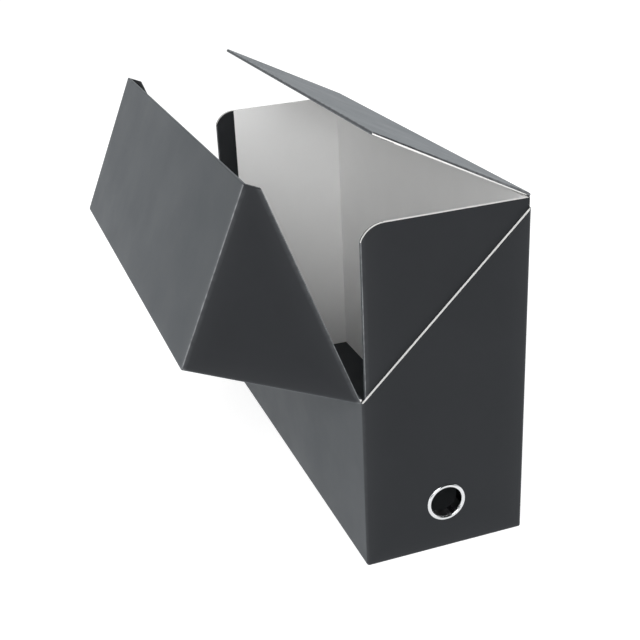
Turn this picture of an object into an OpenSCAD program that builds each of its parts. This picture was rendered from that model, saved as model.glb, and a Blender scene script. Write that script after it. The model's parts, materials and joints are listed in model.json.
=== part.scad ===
// Board file box, standing on its base with the lid and the top flap open.
// X runs from the front long side (-X, where the lid hinges) to the back.
// Y runs along the length, with the spine end and its finger ring at -Y.
// The origin is the middle of the underside of the base.

/* [Box] */
// Outside depth, front face to back face
case_depth = 120; // [100:1:150]
// Outside length, spine end to rear end
case_length = 340; // [300:1:380]
// Outside height with the lid closed
case_height = 255; // [235:1:280]
// Height of the front wall, where the lid hinges
front_wall_height = 128; // [100:0.5:145]
// How far below the top the slanted cut ends at the back
cut_drop = 12; // [9:0.5:20]

/* [Board and paper] */
// Thickness of the board of the case and the lid
board_thickness = 2.2; // [1.6:0.1:2.6]
// Thickness of the board of the inner flap
flap_board_thickness = 1.8; // [1.2:0.1:2.2]
// Thickness of the dark covering paper
cover_thickness = 0.3; // [0.2:0.05:0.4]
// Thickness of the white lining paper
lining_thickness = 0.2; // [0.15:0.05:0.3]
// Width of the covering paper that is turned in over an edge
turn_in_width = 16.5; // [10:0.5:20]
// Height of each half of the strip that lines the lid hinge
joint_strip_width = 16; // [10:0.5:20]

/* [Tray] */
// Length of the rounded front top corner of a tray end, along its rim
corner_run = 16; // [12:0.5:24]
// Height of the same corner, down its front edge
corner_drop = 11; // [8:0.5:12]
// Gap between the front edge of a tray end and the lid's inside
front_clearance = 0.5; // [0.4:0.1:1]

/* [Lid and flap] */
// Angle that the lid stands open
lid_open_angle = 66.6; // [0:0.1:120]
// Angle that the flap stands above level
flap_open_angle = 27; // [0:0.1:45]
// How much narrower the flap's free edge is than its hinge, at each end
flap_taper = 6; // [2:0.5:12]
// Gap between the lid's inside and the free edge of the level flap
flap_front_clearance = 0.3; // [0.2:0.1:2]
// Gap between parts that slide past each other
slide_clearance = 0.3; // [0.2:0.05:0.5]
// Gap between the two sides of the slanted cut
cut_clearance = 0.4; // [0.3:0.1:1]
// Gap at the lid's paper hinge, under the lid's front panel
lid_fold_clearance = 0.3; // [0.2:0.05:0.5]
// Gap between the level flap and the rim of the tray
flap_fold_clearance = 0.5; // [0.4:0.05:0.8]

/* [Finger ring] */
// Height of the ring's centre
ring_height = 37.5; // [30:0.5:80]
// Clear diameter of the finger hole
ring_inner_diameter = 23; // [19:0.5:26]
// Width of the rolled lip, and of the back washer
ring_band = 3; // [2.8:0.1:5]
// How far the rolled lip stands out of the spine
ring_lip = 1.3; // [0.8:0.1:1.4]
// Wall of the ring's barrel
ring_wall = 0.5; // [0.4:0.1:0.8]
// How far the barrel's end is rolled out over the washer
ring_clinch = 1.2; // [0.6:0.1:1.6]
// Thickness of the back washer
washer_thickness = 0.8; // [0.5:0.1:1.2]
// Gap between the barrel and the boards that it passes through
ring_clearance = 0.2; // [0.1:0.05:0.4]

/* [Hidden] */

$fn = 96;
// Colours of the four materials
cover_colour = [0.25, 0.26, 0.28];
board_colour = [0.90, 0.90, 0.87];
lining_colour = [0.96, 0.96, 0.95];
metal_colour = [0.80, 0.81, 0.83];

// Outside faces of the case
front_x = -case_depth / 2;
back_x = case_depth / 2;
end_y = case_length / 2;

// Faces of the boards, going inwards from the outside faces
outer_board_x = back_x - cover_thickness;
inner_board_x = outer_board_x - board_thickness;
shell_outer_y = end_y - cover_thickness;
shell_inner_y = shell_outer_y - board_thickness;
base_top = cover_thickness + board_thickness;
floor_top = base_top + lining_thickness;

// A lid panel is a board with covering paper on both faces at its free edges
lid_stack = board_thickness + 2 * cover_thickness;
lid_inner_z = case_height - lid_stack;
lid_inner_x = front_x + lid_stack;
wing_inner_y = end_y - lid_stack;
lid_board_top = case_height - cover_thickness;
lid_board_under = lid_board_top - board_thickness;

// The tray ends stand inside the lid's wings
tray_cover_y = wing_inner_y - slide_clearance;
tray_outer_y = tray_cover_y - cover_thickness;
tray_inner_y = tray_outer_y - board_thickness;
tray_lined_y = tray_inner_y - lining_thickness;
tray_turned_in_y = tray_inner_y - cover_thickness;
tray_wrap_x = lid_inner_x + front_clearance;
tray_front_x = tray_wrap_x + cover_thickness;
turn_in_x = tray_wrap_x + turn_in_width;
lined_back_x = inner_board_x - lining_thickness;

// The flap lies between the lid's top panel and the level of the tray's rim
flap_top = lid_inner_z - slide_clearance;
flap_board_top = flap_top - cover_thickness;
flap_board_under = flap_board_top - flap_board_thickness;
flap_under = flap_board_under - lining_thickness;
flap_turned_in_z = flap_board_under - cover_thickness;
rim_z = flap_under - flap_fold_clearance;
flap_hinge_z = flap_under - flap_fold_clearance / 2;
flap_free_x = lid_inner_x + flap_front_clearance;
flap_hinge_half = tray_lined_y - slide_clearance;
flap_free_half = flap_hinge_half - flap_taper;
// The paper on the flap's back edge starts this much above the flap's underside
flap_wrap_lift = cover_thickness;

// Radius of the tray's corner, from its run and its drop
corner_radius = (pow(corner_run, 2) + pow(corner_drop, 2)) / (2 * corner_drop);

// The slanted cut runs from the lid hinge up to the back face
cut_angle = atan2(case_height - cut_drop - front_wall_height, case_depth);
cut_reach = 2 * case_length;

// The boards are bored to take the ring's barrel
barrel_radius = ring_inner_diameter / 2 + ring_wall;
bore_radius = barrel_radius + ring_clearance;
ring_outer_radius = ring_inner_diameter / 2 + ring_band;
ring_seat_y = -tray_lined_y;
barrel_length = end_y + ring_seat_y + washer_thickness + ring_wall;

// One overrun serves all cuts
overrun = board_thickness;

// Outlines and placing

// Swings the closed lid to its open angle about the hinge line
module open_lid() {
    translate([front_x, 0, front_wall_height])
        rotate([0, -lid_open_angle, 0])
            translate([-front_x, 0, -front_wall_height])
                children();
}

// Swings the level flap to its open angle about its hinge line
module open_flap() {
    translate([outer_board_x, 0, flap_hinge_z])
        rotate([0, flap_open_angle, 0])
            translate([-outer_board_x, 0, -flap_hinge_z])
                children();
}

// Block between two opposite corners
module block(low, high) {
    translate(low) cube(high - low);
}

// Slab of an X and Z outline between two Y values
module end_slab(y_low, y_high) {
    translate([0, y_high, 0])
        rotate([90, 0, 0])
            linear_extrude(y_high - y_low)
                children();
}

// Half plane above the slanted cut, moved up square to it by a gap
module above_cut(gap) {
    translate([front_x, front_wall_height])
        rotate(cut_angle)
            translate([-cut_reach / 2, gap])
                square([cut_reach, cut_reach]);
}

// Outline of a case end below the slanted cut
module shell_outline(x_half) {
    difference() {
        translate([-x_half, cover_thickness])
            square([2 * x_half, case_height]);
        above_cut(0);
    }
}

// Outline of a lid wing above the slanted cut
module wing_outline(x_low, x_high, z_high, gap) {
    intersection() {
        translate([x_low, front_wall_height])
            square([x_high - x_low, z_high - front_wall_height]);
        above_cut(gap);
    }
}

// Outline of a tray end with its rounded front top corner
module tray_outline(x_low, x_high, z_low) {
    intersection() {
        translate([x_low, z_low])
            square([x_high - x_low, rim_z - z_low]);
        union() {
            translate([x_low, z_low])
                square([x_high - x_low, rim_z - corner_drop - z_low]);
            translate([x_low + corner_run, z_low])
                square([x_high - x_low - corner_run, rim_z - z_low]);
            translate([x_low + corner_run, rim_z - corner_radius])
                circle(corner_radius);
        }
    }
}

// Round bore through the spine end for the finger ring
module finger_bore() {
    translate([0, -tray_lined_y + overrun, ring_height])
        rotate([90, 0, 0])
            cylinder(r = bore_radius, h = end_y - tray_lined_y + 2 * overrun);
}

// Flap outline seen from above, from its hinge side to its free side
module flap_outline(x_low, x_high) {
    intersection() {
        translate([x_low, -flap_hinge_half])
            square([x_high - x_low, 2 * flap_hinge_half]);
        polygon([
            [back_x, -flap_hinge_half],
            [back_x, flap_hinge_half],
            [flap_free_x, flap_free_half],
            [flap_free_x, -flap_free_half]
        ]);
    }
}

// Base

module base_board() {
    color(board_colour)
        block([-inner_board_x, -shell_inner_y, cover_thickness],
              [inner_board_x, shell_inner_y, base_top]);
}

module base_cover() {
    color(cover_colour)
        block([front_x, -end_y, 0], [back_x, end_y, cover_thickness]);
}

// The floor of the tray is lined with the dark paper, and its walls with the white
module base_liner() {
    color(cover_colour)
        block([-inner_board_x, -tray_inner_y, base_top],
              [inner_board_x, tray_inner_y, floor_top]);
}

// Front wall

module front_board() {
    color(board_colour)
        block([-outer_board_x, -shell_inner_y, cover_thickness],
              [-inner_board_x, shell_inner_y, front_wall_height]);
}

module front_cover() {
    color(cover_colour)
        block([front_x, -shell_outer_y, cover_thickness],
              [-outer_board_x, shell_outer_y, front_wall_height]);
}

module front_liner() {
    color(lining_colour)
        block([-inner_board_x, -tray_inner_y, floor_top],
              [-lined_back_x, tray_inner_y, front_wall_height - joint_strip_width]);
}

module front_joint_strip() {
    color(cover_colour)
        block([-inner_board_x, -tray_inner_y, front_wall_height - joint_strip_width],
              [-lined_back_x, tray_inner_y, front_wall_height]);
}

// Back wall

module back_board() {
    color(board_colour)
        block([inner_board_x, -tray_outer_y, cover_thickness],
              [outer_board_x, tray_outer_y, rim_z]);
}

// The back's paper is cut narrower above the slanted cut, to clear the wings
module back_cover() {
    color(cover_colour)
        difference() {
            block([outer_board_x, -shell_outer_y, cover_thickness],
                  [back_x, shell_outer_y, rim_z]);
            end_slab(tray_cover_y, end_y + overrun) above_cut(0);
            end_slab(-end_y - overrun, -tray_cover_y) above_cut(0);
        }
}

module back_liner() {
    color(lining_colour)
        block([lined_back_x, -tray_inner_y, floor_top],
              [inner_board_x, tray_inner_y, rim_z]);
}

// Ends of the case and of the tray, drawn at the rear end

module shell_board_at_rear() {
    end_slab(shell_inner_y, shell_outer_y) shell_outline(outer_board_x);
}

module shell_cover_at_rear() {
    end_slab(shell_outer_y, end_y) shell_outline(back_x);
}

module tray_board_at_rear() {
    end_slab(tray_inner_y, tray_outer_y)
        tray_outline(tray_front_x, inner_board_x, base_top);
}

// Outside sheet, strip round the front edge and the part turned in behind it
module tray_cover_at_rear() {
    end_slab(tray_outer_y, tray_cover_y)
        tray_outline(tray_wrap_x, outer_board_x, base_top);
    block([tray_wrap_x, tray_turned_in_y, floor_top],
          [tray_front_x, tray_outer_y, rim_z - corner_drop]);
    end_slab(tray_turned_in_y, tray_inner_y)
        intersection() {
            tray_outline(tray_front_x, inner_board_x, floor_top);
            translate([tray_front_x, floor_top])
                square([turn_in_x - tray_front_x, rim_z]);
        }
}

module tray_liner_at_rear() {
    end_slab(tray_lined_y, tray_inner_y)
        translate([turn_in_x, floor_top])
            square([lined_back_x - turn_in_x, rim_z - floor_top]);
}

module rear_shell_board() {
    color(board_colour) shell_board_at_rear();
}

module rear_shell_cover() {
    color(cover_colour) shell_cover_at_rear();
}

module rear_tray_board() {
    color(board_colour) tray_board_at_rear();
}

module rear_tray_cover() {
    color(cover_colour) tray_cover_at_rear();
}

module rear_tray_liner() {
    color(lining_colour) tray_liner_at_rear();
}

// The spine end is the rear end mirrored and bored for the ring
module bored_spine_end() {
    difference() {
        mirror([0, 1, 0]) children();
        finger_bore();
    }
}

module spine_shell_board() {
    color(board_colour) bored_spine_end() shell_board_at_rear();
}

module spine_shell_cover() {
    color(cover_colour) bored_spine_end() shell_cover_at_rear();
}

module spine_tray_board() {
    color(board_colour) bored_spine_end() tray_board_at_rear();
}

module spine_tray_cover() {
    color(cover_colour) bored_spine_end() tray_cover_at_rear();
}

module spine_tray_liner() {
    color(lining_colour) bored_spine_end() tray_liner_at_rear();
}

// Finger ring

// Rolled lip, round at its inner and outer edges and flat on the spine
module lip_section() {
    translate([ring_inner_diameter / 2, 0])
        intersection() {
            union() {
                translate([ring_lip, 0]) circle(ring_lip);
                translate([ring_band - ring_lip, 0]) circle(ring_lip);
                translate([ring_lip, -ring_lip])
                    square([ring_band - 2 * ring_lip, ring_lip]);
            }
            translate([0, -ring_lip]) square([ring_band, ring_lip]);
        }
}

// Barrel through the spine, with its far end rolled out over the washer
module barrel_section() {
    translate([ring_inner_diameter / 2, 0]) {
        square([ring_wall, barrel_length]);
        translate([0, barrel_length - ring_wall])
            square([ring_wall + ring_clinch, ring_wall]);
    }
}

module finger_ring() {
    color(metal_colour)
        translate([0, -end_y, ring_height])
            rotate([-90, 0, 0])
                rotate_extrude() {
                    lip_section();
                    barrel_section();
                }
}

module ring_washer() {
    color(metal_colour)
        translate([0, ring_seat_y, ring_height])
            rotate([-90, 0, 0])
                difference() {
                    cylinder(r = ring_outer_radius, h = washer_thickness);
                    translate([0, 0, -overrun])
                        cylinder(r = barrel_radius, h = washer_thickness + 2 * overrun);
                }
}

// Lid, drawn closed and then swung open

module lid_front_board() {
    color(board_colour)
        open_lid()
            block([-outer_board_x, -shell_inner_y, front_wall_height + lid_fold_clearance],
                  [-inner_board_x, shell_inner_y, lid_board_top]);
}

module lid_front_cover() {
    color(cover_colour)
        open_lid()
            block([front_x, -shell_outer_y, front_wall_height + lid_fold_clearance],
                  [-outer_board_x, shell_outer_y, lid_board_top]);
}

module lid_joint_strip() {
    color(cover_colour)
        open_lid()
            block([-inner_board_x, -wing_inner_y, front_wall_height + lid_fold_clearance],
                  [-lined_back_x, wing_inner_y, front_wall_height + joint_strip_width]);
}

module lid_front_liner() {
    color(lining_colour)
        open_lid()
            block([-inner_board_x, -wing_inner_y, front_wall_height + joint_strip_width],
                  [-lined_back_x, wing_inner_y, lid_board_under - lining_thickness]);
}

module lid_top_board() {
    color(board_colour)
        open_lid()
            block([-inner_board_x, -shell_inner_y, lid_board_under],
                  [outer_board_x, shell_inner_y, lid_board_top]);
}

// Top sheet, strip round the back edge and the part turned in under it
module lid_top_cover() {
    color(cover_colour)
        open_lid() {
            block([front_x, -shell_outer_y, lid_board_top],
                  [back_x, shell_outer_y, case_height]);
            block([outer_board_x, -shell_inner_y, lid_inner_z],
                  [back_x, shell_inner_y, lid_board_top]);
            block([back_x - turn_in_width, -wing_inner_y, lid_inner_z],
                  [outer_board_x, wing_inner_y, lid_board_under]);
        }
}

module lid_top_liner() {
    color(lining_colour)
        open_lid()
            block([-inner_board_x, -wing_inner_y, lid_board_under - lining_thickness],
                  [back_x - turn_in_width, wing_inner_y, lid_board_under]);
}

// Wings of the lid, drawn at the rear end

module wing_board_at_rear() {
    end_slab(shell_inner_y, shell_outer_y)
        wing_outline(-outer_board_x, outer_board_x, lid_board_top,
                     cut_clearance + cover_thickness);
}

// Outside sheet, strip round the slanted and back edges, and the turned-in part
module wing_cover_at_rear() {
    end_slab(shell_outer_y, end_y)
        wing_outline(front_x, back_x, case_height, cut_clearance);
    end_slab(shell_inner_y, shell_outer_y)
        difference() {
            wing_outline(-outer_board_x, back_x, lid_board_top, cut_clearance);
            wing_outline(-outer_board_x, outer_board_x, case_height,
                         cut_clearance + cover_thickness);
        }
    end_slab(wing_inner_y, shell_inner_y)
        difference() {
            wing_outline(-lined_back_x, back_x, lid_inner_z, cut_clearance);
            wing_outline(-case_depth, back_x - turn_in_width, case_height, turn_in_width);
        }
}

module wing_liner_at_rear() {
    end_slab(shell_inner_y - lining_thickness, shell_inner_y)
        wing_outline(-lined_back_x, back_x - turn_in_width, lid_inner_z, turn_in_width);
}

module rear_wing_board() {
    color(board_colour) open_lid() wing_board_at_rear();
}

module rear_wing_cover() {
    color(cover_colour) open_lid() wing_cover_at_rear();
}

module rear_wing_liner() {
    color(lining_colour) open_lid() wing_liner_at_rear();
}

module spine_wing_board() {
    color(board_colour) open_lid() mirror([0, 1, 0]) wing_board_at_rear();
}

module spine_wing_cover() {
    color(cover_colour) open_lid() mirror([0, 1, 0]) wing_cover_at_rear();
}

module spine_wing_liner() {
    color(lining_colour) open_lid() mirror([0, 1, 0]) wing_liner_at_rear();
}

// Inner flap, drawn level and then raised

module flap_board() {
    color(board_colour)
        open_flap()
            translate([0, 0, flap_board_under])
                linear_extrude(flap_board_thickness)
                    flap_outline(flap_free_x + cover_thickness, outer_board_x);
}

// Top sheet, strips round the back and free edges, and the turned-in part
module flap_cover() {
    color(cover_colour)
        open_flap() {
            translate([0, 0, flap_board_top])
                linear_extrude(cover_thickness)
                    flap_outline(flap_free_x, back_x);
            translate([0, 0, flap_under + flap_wrap_lift])
                linear_extrude(flap_board_top - flap_under - flap_wrap_lift)
                    flap_outline(outer_board_x, back_x);
            translate([0, 0, flap_turned_in_z])
                linear_extrude(flap_board_top - flap_turned_in_z)
                    flap_outline(flap_free_x, flap_free_x + cover_thickness);
            translate([0, 0, flap_turned_in_z])
                linear_extrude(cover_thickness)
                    flap_outline(flap_free_x, flap_free_x + turn_in_width);
        }
}

module flap_liner() {
    color(lining_colour)
        open_flap()
            translate([0, 0, flap_under])
                linear_extrude(lining_thickness)
                    flap_outline(flap_free_x + turn_in_width, outer_board_x);
}

base_board();
base_cover();
base_liner();
front_board();
front_cover();
front_liner();
front_joint_strip();
back_board();
back_cover();
back_liner();
spine_shell_board();
spine_shell_cover();
spine_tray_board();
spine_tray_cover();
spine_tray_liner();
rear_shell_board();
rear_shell_cover();
rear_tray_board();
rear_tray_cover();
rear_tray_liner();
finger_ring();
ring_washer();
lid_front_board();
lid_front_cover();
lid_front_liner();
lid_joint_strip();
lid_top_board();
lid_top_cover();
lid_top_liner();
spine_wing_board();
spine_wing_cover();
spine_wing_liner();
rear_wing_board();
rear_wing_cover();
rear_wing_liner();
flap_board();
flap_cover();
flap_liner();
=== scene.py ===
import json
import math

import bmesh
import bpy
from mathutils import Matrix, Vector


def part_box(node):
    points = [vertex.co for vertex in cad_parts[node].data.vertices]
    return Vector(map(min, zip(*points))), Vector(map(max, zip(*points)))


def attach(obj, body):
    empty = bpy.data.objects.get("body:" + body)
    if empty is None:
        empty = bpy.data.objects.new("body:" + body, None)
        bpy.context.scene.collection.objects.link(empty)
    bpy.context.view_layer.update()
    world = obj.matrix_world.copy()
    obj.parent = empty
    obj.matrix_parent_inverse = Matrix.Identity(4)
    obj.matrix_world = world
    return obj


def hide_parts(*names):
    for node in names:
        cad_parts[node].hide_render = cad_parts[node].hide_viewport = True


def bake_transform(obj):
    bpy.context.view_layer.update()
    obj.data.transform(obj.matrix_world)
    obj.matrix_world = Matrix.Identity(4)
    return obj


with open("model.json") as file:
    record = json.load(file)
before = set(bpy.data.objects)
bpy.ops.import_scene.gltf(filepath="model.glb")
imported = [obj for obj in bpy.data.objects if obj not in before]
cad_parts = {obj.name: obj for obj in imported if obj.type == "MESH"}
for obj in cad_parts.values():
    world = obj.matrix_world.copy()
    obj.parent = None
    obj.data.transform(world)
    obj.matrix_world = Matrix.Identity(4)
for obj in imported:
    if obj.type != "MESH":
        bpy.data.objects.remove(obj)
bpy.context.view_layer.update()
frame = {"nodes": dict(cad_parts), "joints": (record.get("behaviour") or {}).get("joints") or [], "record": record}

# Camera, fitted to the photograph's corners. The pixels are those of the 640 x 640 image.
IMAGE_PIXELS = 640
FOCAL_PIXELS = 1077.3
CENTRE_PIXEL = (275, 300)
SENSOR_WIDTH = 36
CAMERA_PLACE = Vector((-0.28683, -0.74122, 0.47166))
CAMERA_AZIMUTH = math.radians(-16.789)
CAMERA_ELEVATION = math.radians(23.43)
CAMERA_ROLL = math.radians(-3.817)
CAMERA_CLIP = (0.01, 50)


def add_camera():
    """The camera at the photograph's angle."""
    azimuth, elevation, roll = CAMERA_AZIMUTH, CAMERA_ELEVATION, CAMERA_ROLL
    back = Vector((
        math.sin(azimuth) * math.cos(elevation),
        -math.cos(azimuth) * math.cos(elevation),
        math.sin(elevation),
    ))
    level_right = Vector((math.cos(azimuth), math.sin(azimuth), 0))
    level_up = back.cross(level_right)
    right = math.cos(roll) * level_right + math.sin(roll) * level_up
    up = math.cos(roll) * level_up - math.sin(roll) * level_right
    data = bpy.data.cameras.new("camera")
    data.sensor_width = SENSOR_WIDTH
    data.lens = FOCAL_PIXELS / IMAGE_PIXELS * SENSOR_WIDTH
    data.shift_x = 0.5 - CENTRE_PIXEL[0] / IMAGE_PIXELS
    data.shift_y = CENTRE_PIXEL[1] / IMAGE_PIXELS - 0.5
    data.clip_start, data.clip_end = CAMERA_CLIP
    camera = bpy.data.objects.new("camera", data)
    bpy.context.scene.collection.objects.link(camera)
    turn = Matrix((right, up, back)).transposed().to_4x4()
    camera.matrix_world = Matrix.Translation(CAMERA_PLACE) @ turn
    bpy.context.scene.camera = camera


add_camera()

# Sizes and places, read from the frame
MM = 0.001
TINY = 0.01 * MM
X, Y, Z = Vector((1, 0, 0)), Vector((0, 1, 0)), Vector((0, 0, 1))
ENDS = (-1, 1)
joints = {joint["name"]: joint for joint in frame["joints"]}


def turned(point, pivot, angle):
    """A point turned about the line along Y through pivot."""
    return pivot + Matrix.Rotation(angle, 3, "Y") @ (Vector(point) - pivot)


def points_of(node, pivot=None, angle=0):
    """A node's points at rest, or turned back by an angle about a pivot."""
    points = [v.co.copy() for v in frame["nodes"][node].data.vertices]
    return [turned(p, pivot, -angle) for p in points] if pivot else points


def extent(points):
    """Lowest and highest corner of some points."""
    low = Vector([min(p[axis] for p in points) for axis in range(3)])
    high = Vector([max(p[axis] for p in points) for axis in range(3)])
    return low, high


def slope_of(node):
    """How far a node's largest face is turned about Y from level."""
    faces = frame["nodes"][node].data.polygons
    normal = max(faces, key=lambda face: face.area).normal
    return math.atan2(normal.x, normal.z) % math.pi


LID_PIVOT = Vector(joints["lid_hinge"]["pos_m"])
FLAP_PIVOT = Vector(joints["flap_hinge"]["pos_m"])
# The lid is closed at its joint's lower limit, and the flap's sheets are built level
LID_TURN = math.radians(joints["lid_hinge"]["range_deg"][0])
FLAP_TURN = slope_of("flap_liner")

HALF_DEPTH, HALF_LENGTH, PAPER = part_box("base_cover")[1]
WALL_TOP = LID_PIVOT.z
CUT_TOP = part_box("rear_shell_cover")[1].z
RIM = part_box("back_cover")[1].z
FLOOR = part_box("base_liner")[1].z
BACK_HALF = max(p.y for p in points_of("back_cover") if p.z > RIM - TINY)
FRONT_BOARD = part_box("front_board")

LID_LOW, LID_HIGH = extent(points_of("lid_top_cover", LID_PIVOT, LID_TURN))
LID_START = extent(points_of("lid_front_cover", LID_PIVOT, LID_TURN))[0].z
WING_INSIDE = extent(points_of("rear_wing_cover", LID_PIVOT, LID_TURN))[0].y
TURN_IN = HALF_DEPTH - extent(points_of("lid_top_liner", LID_PIVOT, LID_TURN))[1].x
CUT_SLOPE = (CUT_TOP - WALL_TOP) / (2 * HALF_DEPTH)
CUT_ANGLE = math.atan(CUT_SLOPE)

FLAP_POINTS = points_of("flap_cover", FLAP_PIVOT, FLAP_TURN)
FLAP_LOW, FLAP_HIGH = extent(FLAP_POINTS)
FLAP_FREE_HALF = max(p.y for p in FLAP_POINTS if p.x < FLAP_LOW.x + TINY)

RING_PLACE = (Vector(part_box("ring_washer")[0]) + Vector(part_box("ring_washer")[1])) / 2


def from_ring_axis(point):
    """A point's distance from the finger ring's axis."""
    return math.hypot(point.x - RING_PLACE.x, point.z - RING_PLACE.z)


HOLE_RADIUS = min(from_ring_axis(p) for p in points_of("spine_shell_cover"))
RING_BORE = min(from_ring_axis(p) for p in points_of("finger_ring"))

# Outer radii of the paper's folds, and of the boards' cut edges
CORNER_FOLD = 2.2 * MM
BASE_FOLD = 1.4 * MM
LID_FOLD = 1.4 * MM
FLAP_FOLD = 1.2 * MM
SMALL_FOLD = 0.8 * MM
LIP_FOLD = 0.4 * MM
BOARD_EDGE = 0.25 * MM

# Steps of a fold, a board's soft edge, a hinge's bent paper and a tray end's round corner
FOLD_STEPS = 6
EDGE_STEPS = 2
BEND_STEPS = 4
CORNER_STEPS = 10
# Sides of the finger hole, and how far its cutter reaches beyond a layer
HOLE_SIDES = 96
HOLE_REACH = 5 * MM
# Play left at each end of the lid's front board and its edge paper, which close between the case's ends
END_PLAY = 0.05 * MM
# A fold turns the surface by more than the first angle, and flat faces by less than the second
SHARP_ANGLE = math.radians(35)
FLAT_ANGLE = math.radians(1)

# The flap's paper: bent over the hinge, wider than the board there, and pressed down at its sides.
# The last is the thinner paper over the board edges that face each other in the lid's hinge.
BEND_HEIGHT = 0.8 * MM
EAR_WIDTH = 166.4 * MM
EAR_LENGTH = 3 * MM
LIP_HEIGHT = 1.1 * MM
EAR_LIP_HEIGHT = 1.7 * MM
TURN_IN_INSET = 1.5 * MM
EDGE_PAPER = 0.12 * MM

# Painted sheen beside edges, and wear and painted highlight on folds: lines that are cut beside an edge, and how
# far its band of painted sheen reaches
SHEEN_BAND_LINES = (3.5 * MM, 7 * MM, 13 * MM, 22 * MM)
SHEEN_BAND_REACH = 7 * MM
WEAR_AND_HIGHLIGHT_ANGLE = math.radians(30)
# The wear and painted highlight on a fold fall off with this power of its radius
WEAR_AND_HIGHLIGHT_FADE = 3
# A face that looks this nearly along an edge's outward direction gets no painted sheen from that edge
SHEEN_BAND_FACING = 0.9


def panel(points, facing):
    """One flat panel of a sheet, and the way that it faces."""
    return [Vector(p) for p in points], facing


def upright(outline, y):
    """The points of an outline in X and Z, at one Y."""
    return [(x, y, z) for x, z in outline]


def box_fold(middle):
    """Outer radius of the closed box's fold near a point, or none where it has no such fold."""
    near = PAPER + TINY
    front, back = middle.x < near - HALF_DEPTH, middle.x > HALF_DEPTH - near
    end = abs(middle.y) > HALF_LENGTH - near
    base, top = middle.z < near, middle.z > LID_HIGH.z - near
    if end and (front or back and middle.z < CUT_TOP):
        return CORNER_FOLD
    if base and (front or back or end):
        return BASE_FOLD
    if top and front:
        return LID_FOLD
    return None


def paper_fold(middle):
    """Outer radius of a fold of the box's paper."""
    return box_fold(middle) or SMALL_FOLD


def board_fold(middle):
    """Radius of a board's edge, under the paper's fold or cut."""
    fold = box_fold(middle)
    return fold - PAPER + TINY if fold else BOARD_EDGE


def flap_fold(middle):
    """Outer radius of a fold of the flap's paper, from its place with the flap level."""
    if middle.x < FLAP_LOW.x + TINY:
        return SMALL_FOLD
    return FLAP_FOLD if abs(middle.y) < EAR_WIDTH - TINY and middle.x > HALF_DEPTH - TINY else LIP_FOLD


def add_panels(mesh, panels):
    """Adds flat panels to a mesh, joined where they share an edge."""
    made = {}
    for points, facing in panels:
        loop = []
        for point in points:
            key = tuple(round(v / TINY) for v in point)
            if key not in made:
                made[key] = mesh.verts.new(point)
            loop.append(made[key])
        face = mesh.faces.new(loop)
        face.normal_update()
        if face.normal.dot(facing) < 0:
            face.normal_flip()


def new_piece(name, mesh):
    """A new object from a mesh that is being built."""
    data = bpy.data.meshes.new(name)
    mesh.to_mesh(data)
    mesh.free()
    piece = bpy.data.objects.new(name, data)
    bpy.context.scene.collection.objects.link(piece)
    return piece


def apply_modifiers(piece):
    """Makes a piece's modifiers part of its mesh."""
    depsgraph = bpy.context.evaluated_depsgraph_get()
    data = bpy.data.meshes.new_from_object(piece.evaluated_get(depsgraph))
    piece.modifiers.clear()
    piece.data = data
    data.name = piece.name


def clean(piece):
    """Joins points of a piece that lie on each other, and drops faces without an area."""
    mesh = bmesh.new()
    mesh.from_mesh(piece.data)
    bmesh.ops.remove_doubles(mesh, verts=mesh.verts, dist=TINY)
    bmesh.ops.dissolve_degenerate(mesh, edges=mesh.edges, dist=TINY)
    mesh.to_mesh(piece.data)
    mesh.free()


def smooth_but_sharp(piece):
    """Shades a piece smooth over its folds, and sharp at its cut edges."""
    piece.data.shade_smooth()
    piece.data.set_sharp_from_angle(angle=SHARP_ANGLE)
    even = piece.modifiers.new("even shading", "WEIGHTED_NORMAL")
    even.keep_sharp = True


def folded_piece(name, mesh, radius_of):
    """A piece with each sharp edge that stands out rounded, and a list of those edges."""
    weight = mesh.edges.layers.float.new("bevel_weight_edge")
    folds = [
        edge for edge in mesh.edges
        if edge.is_manifold and edge.is_convex and edge.calc_face_angle() > SHARP_ANGLE
    ]
    lines = []
    for edge in folds:
        first, last = (vertex.co.copy() for vertex in edge.verts)
        lines.append((first, last, radius_of((first + last) / 2)))
    widest = max((radius for first, last, radius in lines), default=0)
    for edge, (first, last, radius) in zip(folds, lines):
        edge[weight] = radius / widest
    piece = new_piece(name, mesh)
    if lines:
        rounding = piece.modifiers.new("folds", "BEVEL")
        rounding.width = widest
        rounding.segments = FOLD_STEPS
        rounding.limit_method = "WEIGHT"
        rounding.offset_type = "OFFSET"
        rounding.use_clamp_overlap = False
        apply_modifiers(piece)
    return piece, lines


def fold_beside(point, lines):
    """Middle and radius of the fold that lies nearest to a point."""
    def gap(line):
        """Distance from the point to the fold's line."""
        first, last = line[0], line[1]
        along = last - first
        share = min(1, max(0, (point - first).dot(along) / along.length_squared))
        return (point - first - share * along).length
    first, last, radius = min(lines, key=gap)
    return (first + last) / 2, radius


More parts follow.
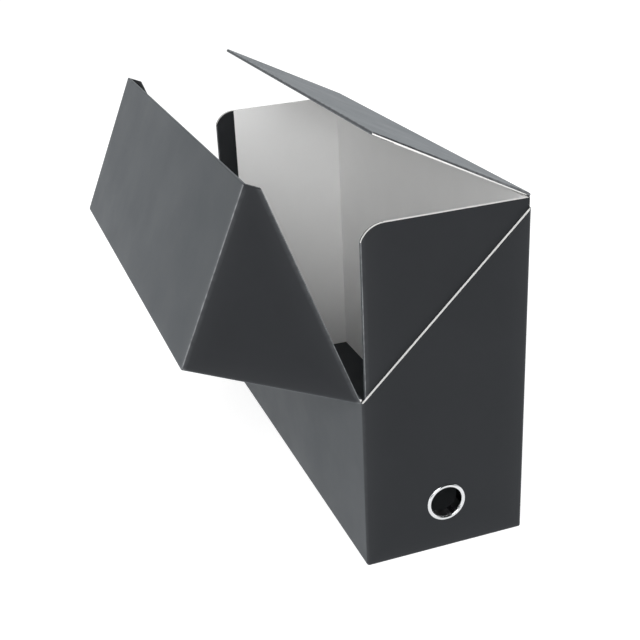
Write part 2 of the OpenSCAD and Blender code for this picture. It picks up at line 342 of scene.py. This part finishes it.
def add_wear_and_painted_light(mesh, facings, lines, edges, no_wear_or_highlight):
    """Marks each point on a fold with its wear and painted highlight, and each point near an edge with its painted
    sheen.
    """
    for point, outward in edges:
        for reach in SHEEN_BAND_LINES:
            bmesh.ops.bisect_plane(
                mesh, geom=mesh.verts[:] + mesh.edges[:] + mesh.faces[:],
                plane_co=point - reach * outward, plane_no=outward,
            )
    mesh.normal_update()
    wear_and_highlight = mesh.verts.layers.float.new("wear_and_highlight")
    painted_edge_sheen = mesh.verts.layers.float.new("painted_edge_sheen")
    for vertex in mesh.verts:
        bend = min(vertex.normal.angle(facing) for facing in facings)
        # A fold's light line: partly wear, partly a painted highlight
        if bend > FLAT_ANGLE and lines:
            middle, radius = fold_beside(vertex.co, lines)
            if not no_wear_or_highlight or (middle - no_wear_or_highlight[0]).dot(no_wear_or_highlight[1]) < 0:
                vertex[wear_and_highlight] = min(1, bend / WEAR_AND_HIGHLIGHT_ANGLE) * min(1, SMALL_FOLD / radius) ** WEAR_AND_HIGHLIGHT_FADE
        # Painted sheen: a lighter band beside each edge, standing in for light caught by the rolled board edge
        gaps = [
            abs((point - vertex.co).dot(outward))
            for point, outward in edges
            if abs(vertex.normal.dot(outward)) < SHEEN_BAND_FACING
        ]
        vertex[painted_edge_sheen] = math.exp(-min(gaps) / SHEEN_BAND_REACH) if gaps else 0


def paper_sheet(name, panels, edges=(), radius_of=paper_fold, place=None, thickness=PAPER, no_wear_or_highlight=None):
    """A sheet of paper from flat panels, with round folds. Its thickness goes inwards.

    The folds beyond a given plane, a point and a direction, get no wear and no painted highlight.
    """
    mesh = bmesh.new()
    add_panels(mesh, panels)
    piece, lines = folded_piece(name, mesh, radius_of)
    mesh = bmesh.new()
    mesh.from_mesh(piece.data)
    bmesh.ops.remove_doubles(mesh, verts=mesh.verts, dist=TINY)
    add_wear_and_painted_light(mesh, [facing for points, facing in panels], lines, edges, no_wear_or_highlight)
    bmesh.ops.remove_doubles(mesh, verts=mesh.verts, dist=TINY)
    if place:
        for vertex in mesh.verts:
            vertex.co = place(vertex.co)
    mesh.to_mesh(piece.data)
    mesh.free()
    body = piece.modifiers.new("thickness", "SOLIDIFY")
    body.thickness = thickness
    body.offset = -1
    body.use_even_offset = True
    apply_modifiers(piece)
    clean(piece)
    smooth_but_sharp(piece)
    return piece


def cut_finger_hole(piece):
    """Cuts the round finger hole through a piece at the spine end."""
    piece_low, piece_high = extent([v.co for v in piece.data.vertices])
    layer = min((piece_low.y, piece_high.y), key=lambda y: abs(y - RING_PLACE.y))
    mesh = bmesh.new()
    rings = []
    for side in ENDS:
        turns = [2 * math.pi * i / HOLE_SIDES for i in range(HOLE_SIDES)]
        rings.append([
            mesh.verts.new((
                RING_PLACE.x + HOLE_RADIUS * math.cos(turn),
                layer + side * HOLE_REACH,
                RING_PLACE.z + HOLE_RADIUS * math.sin(turn),
            ))
            for turn in turns
        ])
    for i in range(HOLE_SIDES):
        mesh.faces.new((rings[0][i - 1], rings[0][i], rings[1][i], rings[1][i - 1]))
    for ring in rings:
        mesh.faces.new(ring)
    bmesh.ops.recalc_face_normals(mesh, faces=mesh.faces)
    cutter = new_piece("hole", mesh)
    cut = piece.modifiers.new("hole", "BOOLEAN")
    cut.operation = "DIFFERENCE"
    cut.solver = "EXACT"
    cut.object = cutter
    apply_modifiers(piece)
    smooth_but_sharp(piece)
    bpy.data.objects.remove(cutter)


def eased(share):
    """A share from 0 to 1 that starts and ends gently."""
    return share * share * (3 - 2 * share)


def opened(point):
    """A point of the closed lid, where it is with the lid open."""
    return turned(point, LID_PIVOT, LID_TURN)


def shortened(point):
    """A point of a board that runs from end to end, with the play left at its end."""
    return Vector((point.x, point.y - math.copysign(END_PLAY, point.y), point.z))


def rounded_board(node, body):
    """A board in place of a CAD board, with its corners as round as the paper's folds."""
    on_lid = body == "lid"
    points = points_of(node, LID_PIVOT, LID_TURN) if on_lid else points_of(node)
    if node == "lid_front_board":
        points = [shortened(p) for p in points]
    bored = [p for p in points if from_ring_axis(p) < HOLE_RADIUS + TINY]
    mesh = bmesh.new()
    for point in points:
        if point not in bored:
            mesh.verts.new(point)
    bmesh.ops.remove_doubles(mesh, verts=mesh.verts, dist=TINY)
    bmesh.ops.convex_hull(mesh, input=mesh.verts)
    bmesh.ops.dissolve_limit(mesh, angle_limit=FLAT_ANGLE, verts=mesh.verts, edges=mesh.edges)
    piece = folded_piece(node + "_rounded", mesh, board_fold)[0]
    if on_lid:
        for vertex in piece.data.vertices:
            vertex.co = opened(vertex.co)
    smooth_but_sharp(piece)
    if bored:
        cut_finger_hole(piece)
    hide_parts(node)
    finish_with(piece, materials["board"])
    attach(piece, body)


def case_paper():
    """Paper round the front, base, back and ends of the case, up to the slanted cut."""
    d, l = HALF_DEPTH, HALF_LENGTH
    end = [(-d, 0), (d, 0), (d, CUT_TOP), (-d, WALL_TOP)]
    panels = [
        panel([(-d, -l, 0), (-d, l, 0), (-d, l, WALL_TOP), (-d, -l, WALL_TOP)], -X),
        panel([(-d, -l, 0), (-d, l, 0), (d, l, 0), (d, -l, 0)], -Z),
        panel([(d, -l, 0), (d, l, 0), (d, l, CUT_TOP), (d, -l, CUT_TOP)], X),
    ]
    panels += [panel(upright(end, side * l), side * Y) for side in ENDS]
    edges = [(-d * X, -X), (d * X, X), (-l * Y, -Y), (l * Y, Y), (0 * Z, -Z)]
    piece = paper_sheet("case_paper", panels, edges)
    cut_finger_hole(piece)
    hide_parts("base_cover", "front_cover", "back_cover", "spine_shell_cover", "rear_shell_cover")
    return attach(piece, "case")


def lid_paper():
    """Paper round the lid's front, top and wings, and turned in at their free edges."""
    d, l = HALF_DEPTH, HALF_LENGTH
    top, under, start = LID_HIGH.z, LID_LOW.z, LID_START
    inner = d - (top - under)
    turned_in_rise = TURN_IN / math.cos(CUT_ANGLE)

    def cut(x):
        """Height of the wing's slanted edge at x."""
        return start + (x + d) * CUT_SLOPE

    wing = [(-d, start), (d, cut(d)), (d, top), (-d, top)]
    turned_in = [
        (-inner, cut(-inner)), (d, cut(d)), (d, under), (d - TURN_IN, under),
        (d - TURN_IN, cut(d - TURN_IN) + turned_in_rise), (-inner, cut(-inner) + turned_in_rise),
    ]
    slanted = Vector((math.sin(CUT_ANGLE), 0, -math.cos(CUT_ANGLE)))
    w = WING_INSIDE
    panels = [
        panel([(-d, -l, start), (-d, l, start), (-d, l, top), (-d, -l, top)], -X),
        panel([(-d, -l, top), (-d, l, top), (d, l, top), (d, -l, top)], Z),
        panel([(d, -l, top), (d, l, top), (d, w, under), (d, -w, under)], X),
        panel([(d, -w, under), (d, w, under), (d - TURN_IN, w, under), (d - TURN_IN, -w, under)], -Z),
    ]
    for side in ENDS:
        panels += [
            panel(upright(wing, side * l), side * Y),
            panel(upright(turned_in, side * w), -side * Y),
            panel([(d, side * l, cut(d)), (d, side * l, top),
                   (d, side * w, under), (d, side * w, cut(d))], X),
            panel([(-d, side * l, start), (d, side * l, cut(d)), (d, side * w, cut(d)),
                   (-inner, side * w, cut(-inner))], slanted),
        ]
    edges = [(-d * X, -X), (-l * Y, -Y), (l * Y, Y), (top * Z, Z), (Vector((-d, 0, start)), slanted)]
    # The lid's back folds get no wear and no painted highlight
    piece = paper_sheet("lid_paper", panels, edges, place=opened, no_wear_or_highlight=(inner * X, X))
    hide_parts("lid_front_cover", "lid_top_cover", "spine_wing_cover", "rear_wing_cover")
    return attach(piece, "lid")


def tray_paper(side, name, node):
    """Paper on the outside of a tray end, round its front edge and turned in behind it."""
    low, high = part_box(node)
    points = points_of(node)
    outside, inside = (high.y, low.y) if side > 0 else (low.y, high.y)
    run = min(p.x for p in points if p.z > high.z - TINY) - low.x
    drop = high.z - max(p.z for p in points if p.x < low.x + TINY)
    radius = (run**2 + drop**2) / (2 * drop)
    centre_x, centre_z = low.x + run, high.z - radius
    turns = [math.asin(run / radius) * i / CORNER_STEPS for i in range(CORNER_STEPS + 1)]
    corner = [
        (centre_x - radius * math.sin(turn), centre_z + radius * math.cos(turn))
        for turn in turns
    ]
    front = low.x
    back = front + TURN_IN
    panels = [
        panel(upright([(front, FLOOR), (high.x, FLOOR), (high.x, high.z)] + corner, outside), side * Y),
        panel(upright([(front, FLOOR), (back, FLOOR), (back, high.z)] + corner, inside), -side * Y),
        panel([(front, outside, FLOOR), (front, inside, FLOOR),
               (front, inside, high.z - drop), (front, outside, high.z - drop)], -X),
    ]
    piece = paper_sheet(name, panels, [(front * X, -X)])
    if side < 0:
        cut_finger_hole(piece)
    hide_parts(node)
    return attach(piece, "case")


def flap_paper():
    """Paper that goes up the back wall, over the flap's hinge and round the flap."""
    d, low, high = HALF_DEPTH, FLAP_LOW, FLAP_HIGH
    slope = (high.y - FLAP_FREE_HALF) / (d - low.x)
    rows = [RIM + BEND_HEIGHT * i / BEND_STEPS for i in range(BEND_STEPS + 1)]

    def half(x):
        """Half the flap's width at x."""
        return FLAP_FREE_HALF + PAPER + (x - low.x) * slope

    ear, free, lip = d - EAR_LENGTH, low.x, high.z - LIP_HEIGHT
    ear_lip = high.z - EAR_LIP_HEIGHT
    inner = free + TURN_IN
    inset = free + TURN_IN_INSET
    wall = [
        (d, -BACK_HALF, CUT_TOP), (d, BACK_HALF, CUT_TOP), (d, BACK_HALF, RIM),
        (d, EAR_WIDTH, RIM), (d, -EAR_WIDTH, RIM), (d, -BACK_HALF, RIM),
    ]
    panels = [panel(wall, X)]
    for lower, upper in zip(rows, rows[1:] + [ear_lip]):
        panels.append(panel([(d, -EAR_WIDTH, lower), (d, EAR_WIDTH, lower),
                             (d, EAR_WIDTH, upper), (d, -EAR_WIDTH, upper)], X))
    panels += [
        panel([(d, -EAR_WIDTH, ear_lip), (d, EAR_WIDTH, ear_lip),
               (d, EAR_WIDTH, high.z), (d, -EAR_WIDTH, high.z)], X),
        panel([(d, -EAR_WIDTH, high.z), (d, EAR_WIDTH, high.z), (ear, half(ear), high.z),
               (free, half(free), high.z), (free, -half(free), high.z), (ear, -half(ear), high.z)], Z),
        panel([(free, -half(free), high.z), (free, half(free), high.z), (free, half(free), lip),
               (free, half(free), low.z), (free, -half(free), low.z), (free, -half(free), lip)], -X),
        panel([(free, -half(free), low.z), (free, half(free), low.z),
               (inset, half(free) - TURN_IN_INSET, low.z),
               (inner, half(inner) - TURN_IN_INSET, low.z),
               (inner, TURN_IN_INSET - half(inner), low.z),
               (inset, TURN_IN_INSET - half(free), low.z)], -Z),
    ]
    for side in ENDS:
        ear_top, ear_foot = (ear, side * half(ear), high.z), (ear, side * half(ear), ear_lip)
        panels += [
            panel([ear_top, (free, side * half(free), high.z), (free, side * half(free), lip),
                   ear_foot], side * Y),
            panel([ear_top, (d, side * EAR_WIDTH, high.z), (d, side * EAR_WIDTH, ear_lip),
                   ear_foot], side * Y),
        ]

    def raised(point):
        """A point of the level flap, where it is with the flap up."""
        share = 1
        if point.x > d - FLAP_FOLD:
            share = min(1, max(0, (point.z - RIM) / BEND_HEIGHT))
        return turned(point, FLAP_PIVOT, FLAP_TURN * eased(share))

    piece = paper_sheet("flap_paper", panels, [(free * X, -X)], flap_fold, raised)
    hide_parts("flap_cover")
    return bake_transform(piece)


def lid_crease():
    """Paper of the lid's hinge, between the front wall's paper and the lid's."""
    d, half = HALF_DEPTH, HALF_LENGTH - CORNER_FOLD
    rows = [WALL_TOP + (LID_START - WALL_TOP) * i / BEND_STEPS for i in range(BEND_STEPS + 1)]
    panels = [
        panel([(-d, -half, lower), (-d, half, lower), (-d, half, upper), (-d, -half, upper)], -X)
        for lower, upper in zip(rows, rows[1:])
    ]

    def bent(point):
        """A point of the straight crease, where it is with the lid open."""
        share = (point.z - WALL_TOP) / (LID_START - WALL_TOP)
        return turned(point, LID_PIVOT, LID_TURN * eased(share))

    piece = paper_sheet("lid_crease", panels, place=bent)
    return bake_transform(piece)


def hinge_edge_papers():
    """Thin paper over the two board edges that face each other inside the lid's hinge."""
    low, high = FRONT_BOARD
    start, end = low.y + END_PLAY, high.y - END_PLAY
    outline = [(low.x, start), (high.x, start), (high.x, end), (low.x, end)]
    for name, height, facing, place, body in (
        ("wall_edge_paper", WALL_TOP + EDGE_PAPER, Z, None, "case"),
        ("lid_edge_paper", LID_START - EDGE_PAPER, -Z, opened, "lid"),
    ):
        corners = [(x, y, height) for x, y in outline]
        piece = paper_sheet(name, [panel(corners, facing)], place=place, thickness=EDGE_PAPER)
        finish_with(piece, materials["joint_strip"])
        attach(piece, body)


# Materials
def node(tree, kind, values=(), **settings):
    """Adds a node. A value is a number, or another node's output to link to."""
    made = tree.nodes.new("ShaderNode" + kind)
    for name, value in settings.items():
        setattr(made, name, value)
    for name, value in dict(values).items():
        if isinstance(value, bpy.types.NodeSocket):
            tree.links.new(value, made.inputs[name])
        else:
            made.inputs[name].default_value = value
    return made


def new_material(name):
    """A material, its node tree, its shader and the place in the object that a point has."""
    material = bpy.data.materials.new(name)
    material.use_nodes = True
    tree = material.node_tree
    shader = tree.nodes["Principled BSDF"]
    place = node(tree, "TexCoord").outputs["Object"]
    return material, tree, shader, place


def noise(tree, place, scale, detail=2, roughness=0.5):
    """Soft noise, of so many cells to the metre."""
    values = {"Vector": place, "Scale": scale, "Detail": detail, "Roughness": roughness}
    return node(tree, "TexNoise", values).outputs["Fac"]


def spread(tree, value, low, high, from_low=0.3, from_high=0.7):
    """A value's middle range, stretched from low to high."""
    values = {
        "Value": value, "From Min": from_low, "From Max": from_high,
        "To Min": low, "To Max": high,
    }
    return node(tree, "MapRange", values).outputs["Result"]


def mixed(tree, share, first, second):
    """Two colours mixed by a share."""
    made = node(tree, "Mix", data_type="RGBA")
    for socket, value in (("Factor_Float", share), ("A_Color", first), ("B_Color", second)):
        target = next(s for s in made.inputs if s.identifier == socket)
        if isinstance(value, bpy.types.NodeSocket):
            tree.links.new(value, target)
        else:
            target.default_value = value
    return next(s for s in made.outputs if s.identifier == "Result_Color")


def times(tree, first, second):
    """Product of two values."""
    made = node(tree, "Math", operation="MULTIPLY")
    for socket, value in zip(made.inputs, (first, second)):
        if isinstance(value, bpy.types.NodeSocket):
            tree.links.new(value, socket)
        else:
            socket.default_value = value
    return made.outputs["Value"]


def attribute(tree, name):
    """A value that is kept on the mesh's points."""
    return node(tree, "Attribute", attribute_name=name).outputs["Fac"]


def bump(tree, height, depth, under=None):
    """The normal of a relief of so many metres, laid over another normal."""
    values = {"Height": height, "Strength": 1, "Distance": depth}
    if under is not None:
        values["Normal"] = under
    return node(tree, "Bump", values).outputs["Normal"]


def set_inputs(shader, values):
    """Sets what is the same all over a surface on the shader's own sockets."""
    for name, value in values.items():
        shader.inputs[name].default_value = value


# Charcoal paper: cells to the metre, depths of its relief, tones and shares of the painted sheen beside its edges
# and of its folds' wear and painted highlight, and gloss
CLOUD_CELLS = 22
SPECKLE_CELLS = 900
WEAR_AND_HIGHLIGHT_CELLS = 260
GRAIN_CELLS = 1700
WAVE_CELLS = 30
GRAIN_DEPTH = 0.016 * MM
WAVE_DEPTH = 0.012 * MM
SPECKLE_SHARE = 0.25
EDGE_SHEEN_TONE = (0.20, 0.205, 0.215, 1)
EDGE_SHEEN_SHARE = 0.05
WEAR_AND_HIGHLIGHT_TONE = (0.52, 0.54, 0.56, 1)
WEAR_AND_HIGHLIGHT_SHARES = (0.15, 0.4)
ROUGHNESS_PLAY = 0.05
PAPER_GLOSS = {
    "Specular IOR Level": 0.08,
    "Sheen Weight": 0.18,
    "Sheen Roughness": 0.52,
    "Sheen Tint": (0.83, 0.925, 1.0, 1),
}

# Nickel: cells to the metre of its marks, tones, roughness, and how softly the painted shade in the bore begins
MARK_CELLS = 700
NICKEL_TONE = (0.67, 0.68, 0.69, 1)
MARKED_TONE = (0.58, 0.59, 0.605, 1)
BORE_PAINTED_SHADE = (0.05, 0.05, 0.055, 1)
NICKEL_ROUGHNESS = (0.06, 0.16)
BORE_FADE = 0.1 * MM
DEEP_FADE = 0.6 * MM


def charcoal_paper(name, tone, lighter, roughness):
    """Charcoal covering paper with a fine pressed grain. Painted sheen lightens it beside its edges, and its folds
    are lighter from wear and a painted highlight.
    """
    material, tree, shader, place = new_material(name)
    clouds = noise(tree, place, CLOUD_CELLS, detail=4, roughness=0.6)
    speckle = noise(tree, place, SPECKLE_CELLS)
    colour = mixed(tree, spread(tree, clouds, 0, 1), tone, lighter)
    colour = mixed(tree, spread(tree, speckle, 0, SPECKLE_SHARE), colour, lighter)
    # Painted sheen beside the edges, standing in for light caught by the rolled board edges
    painted_edge_sheen = times(tree, attribute(tree, "painted_edge_sheen"), EDGE_SHEEN_SHARE)
    colour = mixed(tree, painted_edge_sheen, colour, EDGE_SHEEN_TONE)
    # The folds' light lines, in patches: partly wear, partly a painted highlight
    wear_and_highlight = attribute(tree, "wear_and_highlight")
    patches = spread(tree, noise(tree, place, WEAR_AND_HIGHLIGHT_CELLS, detail=3), *WEAR_AND_HIGHLIGHT_SHARES)
    colour = mixed(tree, times(tree, wear_and_highlight, patches), colour, WEAR_AND_HIGHLIGHT_TONE)
    tree.links.new(colour, shader.inputs["Base Color"])
    varied = spread(tree, clouds, roughness - ROUGHNESS_PLAY, roughness + ROUGHNESS_PLAY)
    tree.links.new(varied, shader.inputs["Roughness"])
    set_inputs(shader, PAPER_GLOSS)
    grain = node(tree, "TexVoronoi", {"Vector": place, "Scale": GRAIN_CELLS}, feature="SMOOTH_F1")
    pressed = bump(tree, grain.outputs["Distance"], GRAIN_DEPTH)
    waves = bump(tree, noise(tree, place, WAVE_CELLS), WAVE_DEPTH, pressed)
    tree.links.new(waves, shader.inputs["Normal"])
    return material


def fibrous_white(name, tone, shade, fibre_cells, fibre_noise, fibre_share, fibre_depth,
                  cloud_cells, cloud_share, roughness, specular):
    """Matte white paper or board, with fibres and soft clouds of a slightly darker shade."""
    material, tree, shader, place = new_material(name)
    fibres = noise(tree, place, fibre_cells, detail=4, roughness=fibre_noise)
    clouds = noise(tree, place, cloud_cells, detail=3)
    colour = mixed(tree, spread(tree, clouds, 0, cloud_share), tone, shade)
    colour = mixed(tree, spread(tree, fibres, 0, fibre_share), colour, shade)
    tree.links.new(colour, shader.inputs["Base Color"])
    tree.links.new(spread(tree, clouds, *roughness), shader.inputs["Roughness"])
    set_inputs(shader, {"Specular IOR Level": specular})
    tree.links.new(bump(tree, fibres, fibre_depth), shader.inputs["Normal"])
    return material


def polished_nickel(name):
    """Bright plated metal with faint handling marks, and painted shade inside the ring's bore."""
    material, tree, shader, place = new_material(name)
    marks = noise(tree, place, MARK_CELLS, detail=4, roughness=0.7)
    from_axis = node(tree, "VectorMath", operation="MULTIPLY_ADD")
    tree.links.new(place, from_axis.inputs[0])
    from_axis.inputs[1].default_value = (1, 0, 1)
    from_axis.inputs[2].default_value = (-RING_PLACE.x, 0, -RING_PLACE.z)
    reach = node(tree, "VectorMath", operation="LENGTH")
    tree.links.new(from_axis.outputs["Vector"], reach.inputs[0])
    # Painted shade: the bore's wall darkens from its mouth inwards, standing in for shade and dark reflections in
    # the hole
    bore = spread(tree, reach.outputs["Value"], 1, 0, RING_BORE, RING_BORE + BORE_FADE)
    along = node(tree, "SeparateXYZ", {"Vector": place}).outputs["Y"]
    deep = spread(tree, along, 0, 1, -HALF_LENGTH - DEEP_FADE, -HALF_LENGTH + DEEP_FADE)
    inside = times(tree, bore, deep)
    colour = mixed(tree, spread(tree, marks, 0, 1), NICKEL_TONE, MARKED_TONE)
    tree.links.new(mixed(tree, inside, colour, BORE_PAINTED_SHADE), shader.inputs["Base Color"])
    tree.links.new(spread(tree, marks, *NICKEL_ROUGHNESS), shader.inputs["Roughness"])
    set_inputs(shader, {"Metallic": 1})
    return material


materials = {
    "covering_paper": charcoal_paper(
        "covering_paper", roughness=0.47,
        tone=(0.0152, 0.0160, 0.0178, 1), lighter=(0.0175, 0.0184, 0.0205, 1),
    ),
    "joint_strip": charcoal_paper(
        "joint_strip", roughness=0.6,
        tone=(0.019, 0.020, 0.0225, 1), lighter=(0.0235, 0.0248, 0.028, 1),
    ),
    "lining_paper": fibrous_white(
        "lining_paper", tone=(0.93, 0.93, 0.925, 1), shade=(0.89, 0.89, 0.885, 1),
        fibre_cells=1100, fibre_noise=0.7, fibre_share=0.5, fibre_depth=0.02 * MM,
        cloud_cells=35, cloud_share=0.6, roughness=(0.72, 0.85), specular=0.25,
    ),
    "board": fibrous_white(
        "board", tone=(0.92, 0.92, 0.905, 1), shade=(0.82, 0.815, 0.795, 1),
        fibre_cells=2600, fibre_noise=0.75, fibre_share=0.8, fibre_depth=0.06 * MM,
        cloud_cells=120, cloud_share=0.5, roughness=(0.8, 0.95), specular=0.2,
    ),
    "ring": polished_nickel("ring"),
}


def finish_with(piece, material):
    """Gives a piece one material."""
    if not piece.material_slots:
        piece.data.materials.append(material)
    for slot in piece.material_slots:
        slot.material = material


def finish_nodes():
    """Gives each CAD node its slot's material, and softens the boards' corners."""
    for subpart in frame["record"]["subparts"]:
        piece = frame["nodes"][subpart["node"]]
        finish_with(piece, materials[subpart["material_slot"]])
        if subpart["material_slot"] == "board":
            weld = piece.modifiers.new("weld", "WELD")
            weld.merge_threshold = TINY
            soften = piece.modifiers.new("soften", "BEVEL")
            soften.width = BOARD_EDGE
            soften.segments = EDGE_STEPS
            soften.limit_method = "ANGLE"
            soften.angle_limit = SHARP_ANGLE


finish_nodes()
for piece in (
    case_paper(), lid_paper(), flap_paper(), lid_crease(),
    tray_paper(-1, "spine_tray_paper", "spine_tray_cover"),
    tray_paper(1, "rear_tray_paper", "rear_tray_cover"),
):
    finish_with(piece, materials["covering_paper"])
hinge_edge_papers()
for board in ("front_board", "back_board", "spine_shell_board", "rear_shell_board"):
    rounded_board(board, "case")
for board in ("lid_front_board", "lid_top_board", "spine_wing_board", "rear_wing_board"):
    rounded_board(board, "lid")

# Floor and light. Lengths are in metres, and tones and strengths are shares of white.
AIM = Vector((-0.03, 0, 0.13))
WHITE = (1, 1, 1, 1)
FLOOR_HALF = 8
FLOOR_TONE = (0.65, 0.65, 0.65, 1)
FLOOR_GLOW = 0.675
WORLD_LIGHT = 0.62
ROOM_HALF, ROOM_HEIGHT, ROOM_FRONT = 4, 2.3, -2.6
ROOM_TONE = (0.02, 0.02, 0.02, 1)
SOFTBOX_SIZE = 0.8
# Watts of a softbox that light a surface fully from a metre away
FULL_LIGHT = math.pi**2
# Each softbox's place, and its share of full light
SOFTBOXES = {
    "front_light": ((-0.95, -1.15, 0.95), 0.18),
    "camera_light": ((-0.5, -1.5, 0.8), 0.5),
    "low_light": ((-1.6, 0.1, 0.2), 0.22),
    "back_light": ((1.7, 0.3, 0.5), 0.3),
}


def add_stage(name, corners, faces):
    """A surface of the studio, and the nodes of its new material."""
    data = bpy.data.meshes.new(name)
    data.from_pydata(corners, [], faces)
    surface = bpy.data.objects.new(name, data)
    bpy.context.scene.collection.objects.link(surface)
    material = bpy.data.materials.new(name)
    material.use_nodes = True
    data.materials.append(material)
    return surface, material.node_tree


def add_floor():
    """A plain white floor. The camera sees it brighter than it lights the object."""
    half = FLOOR_HALF
    corners = [(-half, -half, 0), (half, -half, 0), (half, half, 0), (-half, half, 0)]
    floor, tree = add_stage("floor", corners, [(0, 1, 2, 3)])
    tree.nodes.remove(tree.nodes["Principled BSDF"])
    matte = node(tree, "BsdfDiffuse", {"Color": FLOOR_TONE})
    strength = times(tree, seen(tree), FLOOR_GLOW)
    glow = node(tree, "Emission", {"Color": WHITE, "Strength": strength})
    both = node(tree, "AddShader")
    tree.links.new(matte.outputs[0], both.inputs[0])
    tree.links.new(glow.outputs[0], both.inputs[1])
    tree.links.new(both.outputs[0], tree.nodes["Material Output"].inputs["Surface"])


def seen(tree):
    """1 for a ray from the camera, or one that metal or glass sends on, and 0 for other light."""
    path = node(tree, "LightPath")
    rays = path.outputs["Is Camera Ray"]
    for name in ("Is Glossy Ray", "Is Transmission Ray"):
        either = node(tree, "Math", operation="MAXIMUM")
        tree.links.new(rays, either.inputs[0])
        tree.links.new(path.outputs[name], either.inputs[1])
        rays = either.outputs["Value"]
    return rays


def add_world():
    """A white background that gives a soft even light."""
    world = bpy.data.worlds.new("studio")
    bpy.context.scene.world = world
    world.use_nodes = True
    tree = world.node_tree
    background = tree.nodes["Background"]
    background.inputs["Color"].default_value = WHITE
    strength = node(tree, "MapRange", {"Value": seen(tree), "To Min": WORLD_LIGHT, "To Max": 1.0})
    tree.links.new(strength.outputs["Result"], background.inputs["Strength"])


def add_softbox(name, place, share):
    """A square softbox. A surface that faces it gets this share of full light."""
    data = bpy.data.lights.new(name, "AREA")
    data.size = SOFTBOX_SIZE
    place = Vector(place)
    data.energy = share * FULL_LIGHT * (place - AIM).length_squared
    lamp = bpy.data.objects.new(name, data)
    bpy.context.scene.collection.objects.link(lamp)
    lamp.location = place
    lamp.visible_camera = False
    lamp.rotation_mode = "QUATERNION"
    lamp.rotation_quaternion = (place - AIM).to_track_quat("Z", "Y")


def add_dark_room():
    """The studio's dark ceiling and front wall. They only show in gloss, between the lights."""
    half, height, front = ROOM_HALF, ROOM_HEIGHT, ROOM_FRONT
    corners = [
        (-half, front, 0), (half, front, 0), (half, front, height), (-half, front, height),
        (half, half, height), (-half, half, height),
    ]
    room, tree = add_stage("dark_room", corners, [(0, 1, 2, 3), (3, 2, 4, 5)])
    set_inputs(tree.nodes["Principled BSDF"], {"Base Color": ROOM_TONE})
    for kind in ("camera", "diffuse", "shadow", "transmission", "volume_scatter"):
        setattr(room, "visible_" + kind, False)


add_floor()
add_dark_room()
add_world()
for name, (place, share) in SOFTBOXES.items():
    add_softbox(name, place, share)
bpy.context.scene.view_settings.view_transform = "Standard"
